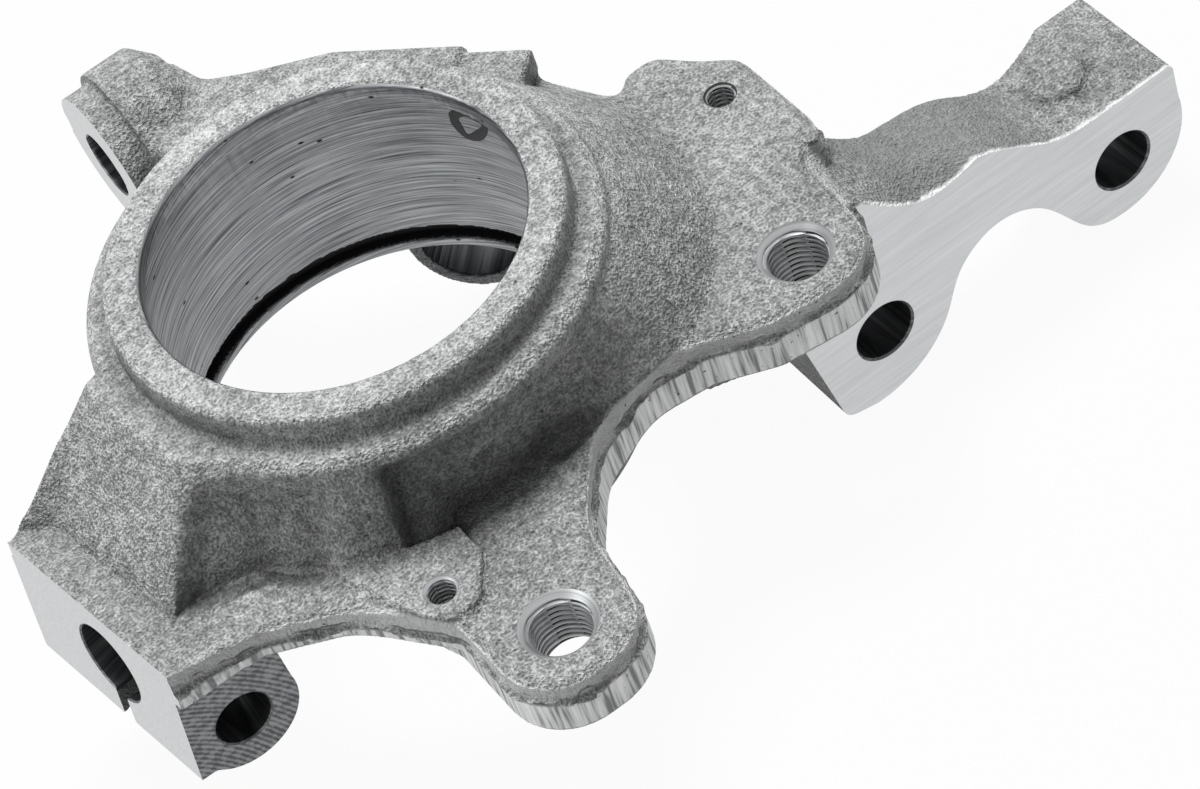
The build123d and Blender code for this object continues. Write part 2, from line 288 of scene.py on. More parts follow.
    def trimmed_wall(self, tree: Tree, place: Socket) -> tuple[Socket, Socket]:
        """Where the trimming press ran: the flange's outer wall.

        Args:
            tree: the material's node tree.
            place: the point in metres.
        Returns:
            How level the surface is, from 0 on a wall to 1 on a top, and the mask of the flange's outer side.
        """
        normal = add_node(tree, "SeparateXYZ", {"Vector": add_node(tree, "NewGeometry")["Normal"]})
        flat = add_node(tree, "Math", {0: normal["Z"]}, operation="ABSOLUTE")[0]
        in_mm = add_node(tree, "VectorMath", {0: place, 1: (1 / MM, 1 / MM, 0)}, operation="MULTIPLY")[0]
        radius = add_node(tree, "VectorMath", {0: in_mm}, operation="LENGTH")["Value"]
        across = add_node(tree, "SeparateXYZ", {"Vector": in_mm})["Y"]
        return flat, overlap(tree, (radius, self.trimmed_r - 1, self.trimmed_r),
                             (across, self.trimmed_y + 6, self.trimmed_y))

    def painted_waist_shade(self, tree: Tree, spot: bpy.types.NodeOutputs) -> Socket:
        """Painted shade on the strut lug's waist: darker and more even there.

        Args:
            tree: the material's node tree.
            spot: the point's X, Y and Z in mm.
        Returns:
            The mask: full within 13 mm of the waist along X, none past 21 mm.
        """
        reach = add_node(tree, "Math", {0: spot["X"], 1: self.waist_x}, operation="SUBTRACT")[0]
        reach = add_node(tree, "Math", {0: reach}, operation="ABSOLUTE")[0]
        return overlap(tree, (reach, 21, 13, 0.72))

    def painted_lip_highlight(self, tree: Tree, spot: bpy.types.NodeOutputs, flat: Socket, wall: Socket) -> Socket:
        """Painted highlight on the rounded lip above the parting line."""
        return overlap(tree, (spot["Z"], self.parting + 0.3, self.parting + 1.0),
                       (spot["Z"], self.parting + 4.6, self.parting + 3.9, 0.68), (flat, 0.85, 0.6), (wall,))

    def painted_crease_shade(self, tree: Tree) -> Socket:
        """Painted shade in creases: darker where the surface is closed in, read by ambient occlusion."""
        closed = add_node(tree, "AmbientOcclusion", {"Distance": self.crease_shade_reach * MM}, samples=8)["AO"]
        return overlap(tree, (closed, 0.93, 0.6, 0.88))

    def painted_shade_under_flash(self, tree: Tree, spot: bpy.types.NodeOutputs, wobble: Socket, wall_here: Socket) -> Socket:
        """Painted shade: a wavering dark line under the flash ridge, at the top of the trimmed band.

        Args:
            tree: the material's node tree.
            spot: the point's X, Y and Z in mm.
            wobble: coarse noise that bends the line.
            wall_here: mask of the trimmed wall.
        Returns:
            The mask: a line 0.9 mm wide at most.
        """
        level = add_node(tree, "Math", {0: wobble, 1: -3.0, 2: spot["Z"]}, operation="MULTIPLY_ADD")[0]
        gap = add_node(tree, "Math", {0: level, 1: self.parting - 0.7}, operation="SUBTRACT")[0]
        gap = add_node(tree, "Math", {0: gap}, operation="ABSOLUTE")[0]
        return overlap(tree, (gap, 0.45, 0.1, 0.8), (wall_here,))

    def in_sand_holes(self, tree: Tree, place: Socket) -> Socket:
        """Sparse sand holes, where the noise dips."""
        dips = add_node(tree, "TexNoise", {"Vector": place, "Scale": 1 / (self.hole_mm * MM),
                                           "Detail": 1.0})[0]
        return overlap(tree, (dips, 0.29, 0.2))

    def painted_edge_highlight(self, tree: Tree, spot: bpy.types.NodeOutputs, wobble: Socket) -> Socket:
        """Painted highlight along the edge of the strut lug's machined face."""
        edge = add_node(tree, "Math", {0: wobble, 1: 2.4, 2: spot["Y"]}, operation="MULTIPLY_ADD")[0]
        return overlap(tree, (edge, -33.8, -34.5), (spot["X"], 78, 80))


class Lay(Enum):
    """How a machined surface's marks run."""

    RINGS = "rings round the part's own axis, drawn so in every hole"
    ARCS = "arcs swept by a face mill"
    SCRATCHES = "straight fine scratches"


@dataclass(frozen=True)
class MachinedIron:
    """Bare machined grey iron: smoother and brighter than the skin, with the tool's marks in it."""

    name: str
    lay: Lay
    dark: str
    light: str
    metallic: float = 1.0
    roughness: float = 0.4
    pitch_mm: float = 0.7      # feed marks are about 0.2 mm apart, drawn coarser so that they show
    depth: float = 0.05
    centre: tuple[float, float, float] = (0.0, 0.0, 0.0)     # where the tool turned, in mm
    fleck: float = 0.0         # size of the dark pores the cut opened, as a share of their spacing
    fleck_mm: float = 8.0      # their spacing
    pore: str = "1d1d20"

    def build(self) -> bpy.types.Material:
        """Make the material: a ramp and a slight bump over the tool's marks.

        Returns:
            The finished material.
        """
        material = new_material(self.name)
        tree = material.node_tree
        place = add_node(tree, "TexCoord")["Object"]
        marks = self.marks(tree, place)
        colour = add_node(tree, "ValToRGB", {"Fac": marks}, ((0.32, self.dark), (0.68, self.light)))[0]
        if self.fleck > 0:
            flat = add_node(tree, "Mapping", {"Vector": place, "Scale": (1, 1, 1.9)})[0]
            cells = add_node(tree, "TexVoronoi", {"Vector": flat, "Scale": 1 / (self.fleck_mm * MM)})
            pores = overlap(tree, (cells["Distance"], self.fleck, self.fleck * 0.6))
            colour = layered(tree, colour, [(pores, srgb(self.pore))])
        bump = add_node(tree, "Bump", {"Height": marks, "Strength": 0.6, "Distance": self.depth * MM})[0]
        shader = add_node(tree, "BsdfPrincipled", {"Base Color": colour, "Metallic": self.metallic,
                                                   "Roughness": self.roughness, "Normal": bump})
        add_node(tree, "OutputMaterial", {"Surface": shader[0]})
        return material

    def marks(self, tree: Tree, place: Socket) -> Socket:
        """Noise laid along the tool's path.

        Rings read noise at (1.9 angle, (height + 3.2 mm * angle) / pitch), a slight helix. Arcs are noise
        plus 0.16 of the sine of a full turn per pitch of distance from the centre. Scratches are noise
        stretched along one direction.

        Args:
            tree: the material's node tree.
            place: the point in metres.
        Returns:
            The marks, about 0 to 1.
        """
        pitch = self.pitch_mm * MM
        centre = tuple(c * MM for c in self.centre)
        centred = add_node(tree, "VectorMath", {0: place, 1: centre}, operation="SUBTRACT")[0]
        if self.lay is Lay.RINGS:
            spot = add_node(tree, "SeparateXYZ", {"Vector": centred})
            angle = add_node(tree, "Math", {0: spot["Y"], 1: spot["X"]}, operation="ARCTAN2")[0]
            drift = add_node(tree, "Math", {0: angle, 1: 3.2 * MM, 2: spot["Z"]}, operation="MULTIPLY_ADD")[0]
            slow = add_node(tree, "Math", {0: angle, 1: 1.9}, operation="MULTIPLY")[0]
            fast = add_node(tree, "Math", {0: drift, 1: 1 / pitch}, operation="MULTIPLY")[0]
            grid = add_node(tree, "CombineXYZ", {"X": slow, "Y": fast})[0]
            return add_node(tree, "TexNoise", {"Vector": grid, "Scale": 1.0, "Detail": 4.0,
                                               "Roughness": 0.6})[0]
        if self.lay is Lay.ARCS:
            reach = add_node(tree, "VectorMath", {0: centred}, operation="LENGTH")["Value"]
            turns = add_node(tree, "Math", {0: reach, 1: 2 * math.pi / pitch}, operation="MULTIPLY")[0]
            wave = add_node(tree, "Math", {0: turns}, operation="SINE")[0]
            noise = add_node(tree, "TexNoise", {"Vector": place, "Scale": 1 / (1.2 * MM), "Detail": 3.0})[0]
            return add_node(tree, "Math", {0: wave, 1: 0.16, 2: noise}, operation="MULTIPLY_ADD")[0]
        stretched = add_node(tree, "Mapping", {"Vector": centred, "Rotation": (0, 0.5, 0),
                                               "Scale": (0.05, 1, 1)})[0]
        return add_node(tree, "TexNoise", {"Vector": stretched, "Scale": 1 / pitch, "Detail": 3.0})[0]


class Finish(IntEnum):
    """Finishes of the casting's faces, numbered as its materials are."""

    SKIN = 0
    SEAT = 1
    GROUND = 2
    MILLED = 3
    DRILLED = 4
    ROOT = 5
    CREST = 6


MACHINED = (
    MachinedIron("turned_seat", Lay.RINGS, "484b4e", "b2b4b6", roughness=0.38, pitch_mm=0.45, fleck=0.085),
    MachinedIron("ground_face", Lay.SCRATCHES, "c4c6c7", "d0d2d3", depth=0.01),
    # painted shade: the milled cheek's colours are darkened for a face turned away from the light
    MachinedIron("milled_clamp_painted_shade", Lay.ARCS, "505254", "87898a", pitch_mm=0.95, centre=(-96.0, -36.4, -52.0)),
    # painted shade: the drilled walls are coloured dark for the shade inside the holes
    MachinedIron("drilled_wall_painted_shade", Lay.RINGS, "26282a", "77797b", metallic=0.8),
    # painted shade: thread roots and the circlip groove are coloured near black
    MachinedIron("root_painted_shade", Lay.RINGS, "0e0f10", "1c1d1e", metallic=0.0, roughness=0.5),
    MachinedIron("thread_crest", Lay.RINGS, "808283", "bbbdbe", metallic=0.6, roughness=0.42),
)


# ---------------------------------------------------------------- shells
@dataclass(frozen=True)
class Shell:
    """A closed mesh: points in mm and faces as index lists."""

    points: np.ndarray
    faces: list[list[int]]

    def mesh(self, name: str) -> bpy.types.Mesh:
        """The shell as a mesh in metres."""
        mesh = bpy.data.meshes.new(name)
        mesh.from_pydata((self.points * MM).tolist(), [], self.faces)
        mesh.validate()
        return mesh


def place_object(name: str, data: bpy.types.ID) -> bpy.types.Object:
    """Put an object in the scene.

    Args:
        name: its name.
        data: its mesh, lamp or camera.
    Returns:
        The object, at the origin.
    """
    obj = bpy.data.objects.new(name, data)
    bpy.context.scene.collection.objects.link(obj)
    return obj


def rows(items: bpy.types.bpy_prop_collection, attribute: str) -> np.ndarray:
    """Read a three-part attribute of a mesh's vertices or faces.

    Args:
        items: the vertices or faces.
        attribute: the attribute's name.
    Returns:
        One row for each item.
    """
    flat = np.empty(len(items) * 3)
    items.foreach_get(attribute, flat)
    return flat.reshape(-1, 3)


def join(shells: list[Shell]) -> Shell:
    """All shells as one list of points and faces.

    Args:
        shells: the shells to join.
    Returns:
        One shell; each part's indexes are raised by the count of points before it.
    """
    faces, base = [], 0
    for shell in shells:
        faces += [[i + base for i in face] for face in shell.faces]
        base += len(shell.points)
    return Shell(np.concatenate([shell.points for shell in shells]), faces)


def basis(axis: np.ndarray) -> np.ndarray:
    """Directions of a plane and its normal.

    Args:
        axis: the normal, of any length.
    Returns:
        Rows: two directions square to the normal and to each other, then the normal, all of length 1.
    """
    axis = np.asarray(axis, float) / np.linalg.norm(axis)
    helper = np.array(UP) if abs(axis[2]) < 0.9 else np.array([1.0, 0.0, 0.0])
    first = np.cross(helper, axis)
    first /= np.linalg.norm(first)
    return np.stack([first, np.cross(axis, first), axis])


def turned(radii: np.ndarray, heights: np.ndarray, origin: np.ndarray, axis: np.ndarray) -> Shell:
    """Closed turned solid, capped at both ends.

    Point (i, j) is origin + radius_ij (cos angle_j, sin angle_j) + height_i along the axis.

    Args:
        radii: radius at each height and angle, shape (rows, columns).
        heights: distance along the axis of each row, rising.
        origin: point on the axis.
        axis: direction of the axis.
    Returns:
        The solid's shell, faces outwards.
    """
    angle = np.linspace(0, 2 * np.pi, radii.shape[1], endpoint=False)
    first, second, along = basis(axis)
    ring = np.cos(angle)[:, None] * first + np.sin(angle)[:, None] * second
    points = np.asarray(origin, float) + radii[:, :, None] * ring[None] + heights[:, None, None] * along
    index = np.arange(radii.size).reshape(radii.shape)
    ahead = np.roll(index, -1, axis=1)
    quads = np.stack([index[:-1], ahead[:-1], ahead[1:], index[1:]], axis=-1).reshape(-1, 4).tolist()
    return Shell(points.reshape(-1, 3), quads + [index[0, ::-1].tolist(), index[-1].tolist()])


def lathe(profile: list[tuple[float, float]], origin: np.ndarray, axis: np.ndarray,
          columns: int = 96) -> Shell:
    """Turned solid from a profile.

    Args:
        profile: (radius, height) pairs, heights rising.
        origin: where the heights are measured from.
        axis: direction of the heights.
        columns: points round the solid.
    Returns:
        The solid's shell.
    """
    table = np.array(profile, float)
    return turned(np.repeat(table[:, :1], columns, axis=1), table[:, 1], origin, axis)


def slab(origin: np.ndarray, axis: np.ndarray, spans: tuple[float, float, float, float],
         height: float) -> Shell:
    """Box that rises along axis from the plane through origin.

    Args:
        origin: point on the base plane.
        axis: direction that the box rises in.
        spans: lowest and highest distance from origin along the plane's level direction, then its other one.
        height: how far the box rises.
    Returns:
        The box's shell.
    """
    corners = np.array([[x, y, z] for z in (0, height) for y in spans[2:] for x in spans[:2]], float)
    faces = [[0, 2, 3, 1], [4, 5, 7, 6], [0, 1, 5, 4], [2, 6, 7, 3], [0, 4, 6, 2], [1, 3, 7, 5]]
    return Shell(np.asarray(origin, float) + corners @ basis(axis), faces)


def prism(outline: list[tuple[float, float]], level: float, across: tuple[float, float]) -> Shell:
    """Block that carries an outline from one y to another.

    Args:
        outline: (x, height over level) corners.
        level: height that the outline is measured from.
        across: the two values of y.
    Returns:
        The block's shell.
    """
    table = np.array(outline, float)
    count = len(table)
    ends = [np.stack([table[:, 0], np.full(count, y), table[:, 1] + level], axis=1) for y in across]
    index = np.arange(count)
    ahead = np.roll(index, -1)
    sides = np.stack([index, index + count, ahead + count, ahead], axis=-1).tolist()
    return Shell(np.concatenate(ends), sides + [index.tolist(), (index[::-1] + count).tolist()])


# ---------------------------------------------------------------- what the casting is made of
@dataclass(frozen=True)
class Mount:
    """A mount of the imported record, in mm."""

    centre: np.ndarray
    axis: np.ndarray
    radius: float
    length: float = 0.0
    spacing: float = 0.0       # between the holes of a pair, along X

    @property
    def mouth(self) -> np.ndarray:
        """Where the wall ends on the side that the mating part leaves by."""
        return self.centre + self.axis * self.length / 2

    @classmethod
    def read(cls, name: str) -> "Mount":
        """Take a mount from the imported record.

        Args:
            name: the mount's name there.
        Returns:
            The mount.
        """
        found = next(m for m in frame["record"]["mounts"] if m["name"] == name)
        dims = found["dims"]
        return cls(np.array(found["pos_m"]) / MM, np.array(found["axis"], float),
                   dims.get("r_mm", dims.get("hole_r_mm")), dims.get("length_mm", 0.0),
                   dims.get("spacing_x_mm", 0.0))

    def around(self, points: np.ndarray, normals: np.ndarray) -> tuple[np.ndarray, np.ndarray, np.ndarray]:
        """Where faces lie round this hole.

        Args:
            points: centres of the faces.
            normals: directions of the faces.
        Returns:
            Each face's distance from the axis, how far it faces away from it (-1 is straight at it) and its
            distance along it.
        """
        offset = points - self.centre
        along = offset @ self.axis
        across = offset - np.outer(along, self.axis)
        reach = np.linalg.norm(across, axis=1)
        return reach, np.einsum("ij,ij->i", across, normals) / np.maximum(reach, 0.1), along


@dataclass(frozen=True)
class Thread:
    """A threaded hole that opens on the flange, in mm."""

    mount: str
    crest: float               # radius at the bottom of the thread's groove
    root: float                # radius past which a face lies in the groove
    pitch: float
    sink: float                # radius of the countersink at the mouth
    flare: float               # depth above which no face counts as the groove's
    plug: float                # radius of the plug that fills the hole while the skin is softened
    columns: int
    rise: float = 0.0          # height of the mouth's pad over the flange
    overrun: float = 1.5       # how far past the ear's thickness the cutter goes down from the mouth

    def cutter(self, flange: float, ear: float) -> Shell:
        """Cutter for the hole, down from its mouth.

        Radius = bore + depth of groove * triangle wave of (height / pitch - angle / turn), or the
        countersink's cone where that is wider.

        Args:
            flange: height of the flange's top.
            ear: thickness of the flange.
        Returns:
            The cutter's shell.
        """
        hole = Mount.read(self.mount)
        over = 1.0             # how far it stands out of the mouth
        heights = np.arange(-(ear + self.overrun), over, self.pitch / 8)
        turn = np.arange(self.columns) / self.columns
        phase = (heights[:, None] / self.pitch - turn[None]) % 1.0
        groove = np.clip(1.25 - 2.5 * np.abs(2 * phase - 1), 0, 1)
        radii = hole.radius + (self.crest - hole.radius) * groove
        radii = np.maximum(radii, self.sink + heights[:, None])
        return turned(radii, heights, (hole.centre[0], hole.centre[1], flange + self.rise), UP)


THREAD_REACH = 7.15            # faces farther than this from a threaded hole's axis aren't its own
CALIPER = {"crest": 6.05, "root": 5.66, "pitch": 1.25, "sink": 6.95, "flare": 1.6, "plug": 7.55,
           "columns": 64}
SHIELD = {"crest": 3.05, "root": 2.74, "pitch": 1.0, "sink": 3.1, "flare": 0.0, "plug": 3.1,
          "columns": 40}
THREADS = (
    Thread("caliper_upper", **CALIPER),
    Thread("caliper_lower", **CALIPER),
    Thread("shield_upper", **SHIELD),
    Thread("shield_lower", **SHIELD, rise=1.6, overrun=0.0),      # blind, as in the solid
)


@dataclass(frozen=True)
class Hollow:
    """A dip carved in the skirt between two angles."""

    start: float               # degrees
    end: float
    rise: float                # degrees over which it fades in, and out
    fall: float
    depth: float
    clear: float               # how far it keeps off the lower shield screw's pad


@dataclass(frozen=True)
class MachinedPlane:
    """A flat machined face: a point on it, its outward direction, how far it reaches and its finish."""

    point: np.ndarray
    outward: np.ndarray
    reach: float
    finish: Finish


# ---------------------------------------------------------------- the casting
@dataclass
class Casting:
    """The one casting: body, machined faces, bores and threads."""

    voxel: float = 0.52
    soften: int = 3
    rim_soften: int = 75
    rim_reach: int = 3
    rim_span: tuple[float, float] = (-50.0, 88.0)
    target_triangles: int = 135000
    stock: float = 2.0
    cutter_height: float = 5.0     # of the face cutters, more than the stock that they take off
    rim: float = 23.25
    flange_drop: float = 27.0
    ear: float = 11.6
    lug_face: float = -36.0
    lug_depth: float = 27.0
    lug_step: float = -26.2    # how far the lug's machined face reaches inwards above the ear's foot
    tie_rod_face: float = -13.2
    hole_runout: float = 0.8
    rod_runout: float = 4.0    # the far mouth opens on a slope, so its cutter runs well past it
    clamp_at: tuple[float, float, float] = (-57.8, -36.4, -24.0)
    cheek_drop: float = 33.8
    parting_drop: float = 31.0
    trimmed_band: float = 7.0
    flash: float = 0.55
    trim_step: float = 0.55
    panel: Hollow = Hollow(-156.5, -117.6, 6.0, 6.0, 2.6, 18.0)
    recess: Hollow = Hollow(-117.0, -60.0, 1.8, 22.0, 4.0, 9.5)
    lug_bevel: float = 2.8
    collar_r: float = 43.0     # the skirt lies beyond this radius
    skirt_r: float = 47.0      # and the flange's outer wall beyond this one
    seat_top: float = 18.75
    seat_length: float = 37.5
    locating_top: float = -24.6
    locating_r: float = 5.9
    relief: float = 0.6
    groove_depth: float = 2.2
    groove_width: float = 3.4
    collar_height: float = 48.2
    nub: tuple[float, float] = (80.4, -20.8)
    nub_r: float = 2.8
    # the filled corner's outline: x and height over the flange
    wedge: tuple[tuple[float, float], ...] = ((70, -12), (70, -2.6), (77.6, -2.6), (80.2, -4.6), (84.5, -7.6),
                                              (91, -10.6), (91, -12))
    wedge_across: tuple[float, float] = (-36.0, -18.8)
    sharp_angle: float = 32.0

    @property
    def flange(self) -> float:
        """Height of the flange's top."""
        return self.rim - self.flange_drop

    @property
    def groove_top(self) -> float:
        """Height of the circlip groove's upper wall, where the seat ends."""
        return self.seat_top - self.seat_length

    def build(self) -> bpy.types.Object:
        """Cast it, machine it and dress it.

        Returns:
            The finished casting.
        """
        obj = self.cast()
        log.info("cast body: %d triangles", sum(len(p.vertices) - 2 for p in obj.data.polygons))
        self.machine(obj)
        self.dress(obj)
        log.info("knuckle: %d triangles", sum(len(p.vertices) - 2 for p in obj.data.polygons))
        return obj

    @staticmethod
    def bake(obj: bpy.types.Object) -> None:
        """Apply every modifier of the object."""
        mesh = bpy.data.meshes.new_from_object(obj.evaluated_get(bpy.context.evaluated_depsgraph_get()))
        obj.modifiers.clear()
        obj.data = mesh

    def cast(self) -> bpy.types.Object:
        """Plugged copy of the solid with stock on its machined faces, remeshed and softened.

        Returns:
            The cast body, before machining.
        """
        source = frame["nodes"][NODE].data.copy()
        work = bmesh.new()
        work.from_mesh(source)
        bmesh.ops.remove_doubles(work, verts=work.verts, dist=1e-6)
        work.to_mesh(source)
        work.free()
        points = rows(source.vertices, "co") / MM
        for plane in self.machined_planes():
            offset = points - plane.point
            gap = offset @ plane.outward
            flat = np.hypot.reduce([offset @ row for row in basis(plane.outward)[:2]])
            points[(np.abs(gap) < 0.02) & (flat < plane.reach)] += plane.outward * self.stock
        faces = [list(p.vertices) for p in source.polygons]
        obj = place_object("cast_body", join([Shell(points, faces)] + self.fillings()).mesh("cast_body"))
        skin = obj.modifiers.new("sand_cast", "REMESH")
        skin.mode = "VOXEL"
        skin.voxel_size = self.voxel * MM
        smooth = obj.modifiers.new("soften", "SMOOTH")
        smooth.factor = 0.5
        smooth.iterations = self.soften
        self.bake(obj)
        self.round_rim(obj)
        self.carve(obj.data)
        thin = obj.modifiers.new("thin", "DECIMATE")
        thin.ratio = min(1.0, self.target_triangles / max(1, 2 * len(obj.data.polygons)))
        self.bake(obj)
        return obj

    def round_rim(self, obj: bpy.types.Object) -> None:
        """Soften the flange's outboard edge further: only points within rim_reach mm of its outer wall move.

        Args:
            obj: the softened body.
        """
        x, y, z = (rows(obj.data.vertices, "co") / MM).T
        upright = np.abs(rows(obj.data.vertices, "normal")[:, 2]) < 0.5
        drop = self.rim - z
        outer = (drop > self.flange_drop + 1) & (drop < self.flange_drop + 10) & upright
        outer &= (np.hypot(x, y) > self.skirt_r) & (x < self.rim_span[1] - 2)
        # a map of the outer wall in 1 mm cells, grown by rim_reach cells on every side
        half_map = 200
        cell = np.stack([x, y]).astype(int) + half_map
        border = np.zeros((2 * half_map, 2 * half_map), bool)
        border[cell[0][outer], cell[1][outer]] = True
        for _ in range(self.rim_reach):
            border[1:] |= border[:-1]
            border[:-1] |= border[1:]
            border[:, 1:] |= border[:, :-1]
            border[:, :-1] |= border[:, 1:]
        picked = border[cell[0], cell[1]] & (x > self.rim_span[0]) & (x < self.rim_span[1])
        picked &= (drop > self.flange_drop - 0.8) & (drop < self.flange_drop + 4.2)
        group = obj.vertex_groups.new(name="rim")
        group.add(np.nonzero(picked)[0].tolist(), 1.0, "REPLACE")
        soft = obj.modifiers.new("rim_soft", "SMOOTH")
        soft.factor = 0.8
        soft.iterations = self.rim_soften
        soft.vertex_group = "rim"
        self.bake(obj)
        obj.vertex_groups.clear()

    def carve(self, mesh: bpy.types.Mesh) -> None:
        """Shape what the foundry left: parting line and flash, hollows in the skirt and the lug's bevel.

        Args:
            mesh: the softened body's mesh, whose points are moved.
        """
        points = rows(mesh.vertices, "co")
        normals = rows(mesh.vertices, "normal")
        spot = (points / MM).T
        points += normals * (MM * self.parting_offset(spot, normals[:, 2]))[:, None]
        for hollow in (self.panel, self.recess):
            points -= normals * (MM * self.dip(hollow, spot, normals[:, 2]))[:, None]
        # Bevel along the lug's top edge: deepest in the middle of its waist, level with the top at y = -30
        x, y, z = spot
        middle = np.clip(1 - np.abs(x - 91) / 12, 0, 1)
        front = np.clip((-30 - y) / 5.5, 0, 1) * np.clip((46 - (self.rim - z)) / 5, 0, 1)
        points[:, 2] -= self.lug_bevel * MM * middle * (2 - middle) * front
        mesh.vertices.foreach_set("co", points.ravel())

    def parting_offset(self, spot: np.ndarray, slope: np.ndarray) -> np.ndarray:
        """How far the flange's upright walls swell along the parting line and step in above it.

        Offset = flash * exp(-(gap / 0.45)^2) * wave - trim_step * (1 + tanh(gap / 0.3)) / 2, where the gap is
        the height over the parting line, which wanders by sines of x and y.

        Args:
            spot: x, y and z of the points, in mm.
            slope: upward part of each point's normal.
        Returns:
            Distance outwards along the normal, in mm.
        """
        x, y, z = spot
        drop = self.rim - z
        lift = 0.4 * np.sin(x * 0.5) + 0.3 * np.sin(y * 0.83 + x * 0.2)
        gap = z - (self.rim - self.parting_drop) - lift
        wave = 0.6 + 0.4 * np.sin(x * 0.9 + y * 1.3) * np.sin(x * 0.37 - y * 0.61)
        offset = self.flash * np.exp(-(gap / 0.45) ** 2) * wave
        offset -= self.trim_step * (1 + np.tanh(gap / 0.3)) / 2 * np.clip((drop - 26) / 1.5, 0, 1)
        outer = (np.hypot(x, y) > self.skirt_r) & (x < 90) & (drop < self.flange_drop + self.ear + 1)
        return offset * np.clip(1.9 - 2.6 * np.abs(slope), 0, 1) * outer

    def dip(self, hollow: Hollow, spot: np.ndarray, slope: np.ndarray) -> np.ndarray:
        """How deep a hollow goes into the skirt: its depth times a smooth rise and fall both ways.

        Args:
            hollow: the hollow.
            spot: x, y and z of the points, in mm.
            slope: upward part of each point's normal.
        Returns:
            Distance inwards along the normal, in mm.
        """
        x, y, z = spot
        drop = self.rim - z
        angle = np.degrees(np.arctan2(y, x))
        down = np.clip((drop - 8.5) / 4, 0, 1) * np.clip(self.flange_drop - 0.3 - drop, 0, 1)
        down *= 0.6 + 0.03 * drop
        outside = (np.hypot(x, y) > self.collar_r) * np.clip((0.94 - slope) / 0.1, 0, 1)
        pad = Mount.read("shield_lower").centre
        pad_gap = np.hypot(x - pad[0], y - pad[1])
        across = np.clip((angle - hollow.start) / hollow.rise, 0, 1)
        across *= np.clip((hollow.end - angle) / hollow.fall, 0, 1)
        across *= np.clip((pad_gap - hollow.clear) / 5, 0, 1)
        return hollow.depth * (3 - 2 * across) * across ** 2 * down * outside

    def machined_planes(self) -> list[MachinedPlane]:
        """Flat machined faces: strut lug, stud clamp's end, tie-rod boss and clamp's cheek.

        Returns:
            The four planes.
        """
        stud = Mount.read("stud_clamp")
        strut = Mount.read("strut_bolts").centre
        rod = Mount.read("tie_rod_hole").centre
        front = np.array([0.0, -1.0, 0.0])
        return [
            MachinedPlane(np.array([strut[0], self.lug_face, strut[2]]), front, 70.0, Finish.GROUND),
            MachinedPlane(stud.mouth, stud.axis, 60.0, Finish.GROUND),
            MachinedPlane(np.array([self.tie_rod_face, rod[1], rod[2]]), np.array([-1.0, 0.0, 0.0]), 17.0,
                          Finish.GROUND),
            MachinedPlane(np.array(self.clamp_at), front, 30.0, Finish.MILLED),
        ]

    def strut_holes(self) -> list[Mount]:
        """The strut lug's two holes.

        Returns:
            The inner and the outer hole, each centred at its mouth on the lug's machined face.
        """
        pair = Mount.read("strut_bolts")
        middle = np.array([pair.centre[0], self.lug_face, pair.centre[2]])
        shift = np.array([pair.spacing / 2, 0, 0])
        return [Mount(middle + side * shift, pair.axis, pair.radius) for side in (-1, 1)]

    def fillings(self) -> list[Shell]:
        """What is joined to the solid before it is softened.

        Plugs fill the threaded holes flush with the cast faces, so that softening leaves no dished mouths.
        The rest is cast on: the strut lug's locating pad, the nub behind the upper ear and the corner filled
        beside it.

        Returns:
            The shells.
        """
        shells = []
        for thread in THREADS:
            x, y, _ = Mount.read(thread.mount).centre
            shells.append(lathe([(thread.plug, -self.ear - thread.rise), (thread.plug, 0)],
                                (x, y, self.flange + thread.rise), UP))
        r = self.locating_r
        place = (self.strut_holes()[1].centre[0] - 2.5, self.lug_face + 13.2, self.locating_top)
        shells.append(lathe([(r, -4), (r, -0.5), (r - 0.7, 0)], place, UP, 48))
        r = self.nub_r
        shells.append(lathe([(r, -4.5), (r, 0.1), (r - 1.0, 1.0)], (*self.nub, self.flange), UP, 32))
        shells.append(prism(self.wedge, self.flange, self.wedge_across))
        return shells

    def bearing_cutter(self) -> Shell:
        """Turned cutter for the opening, seat and circlip groove, with a chamfer at each mouth.

        Returns:
            The cutter's shell.
        """
        seat_r = Mount.read("bearing_bore").radius
        opening_r = Mount.read("outboard_opening").radius
        low = self.rim - self.collar_height
        groove_end = self.groove_top - self.groove_width
        step = 0.01            # a square shoulder still has to rise
        profile = [
            (seat_r + 1.6, low - 6), (seat_r + 1.6, low - 0.6), (seat_r + 1.0, low), (seat_r, low + 1.0),
            (seat_r, groove_end), (seat_r + self.groove_depth, groove_end + step),
            (seat_r + self.groove_depth, self.groove_top), (seat_r, self.groove_top + step),
            (seat_r, self.seat_top - 1.2), (seat_r + self.relief, self.seat_top - 1.2 + step),
            (seat_r + self.relief, self.seat_top), (opening_r, self.seat_top + step),
            (opening_r, self.rim - 0.55), (opening_r + 1.1, self.rim), (opening_r + 1.6, self.rim + 6)]
        return lathe(profile, (0, 0, 0), UP, 240)

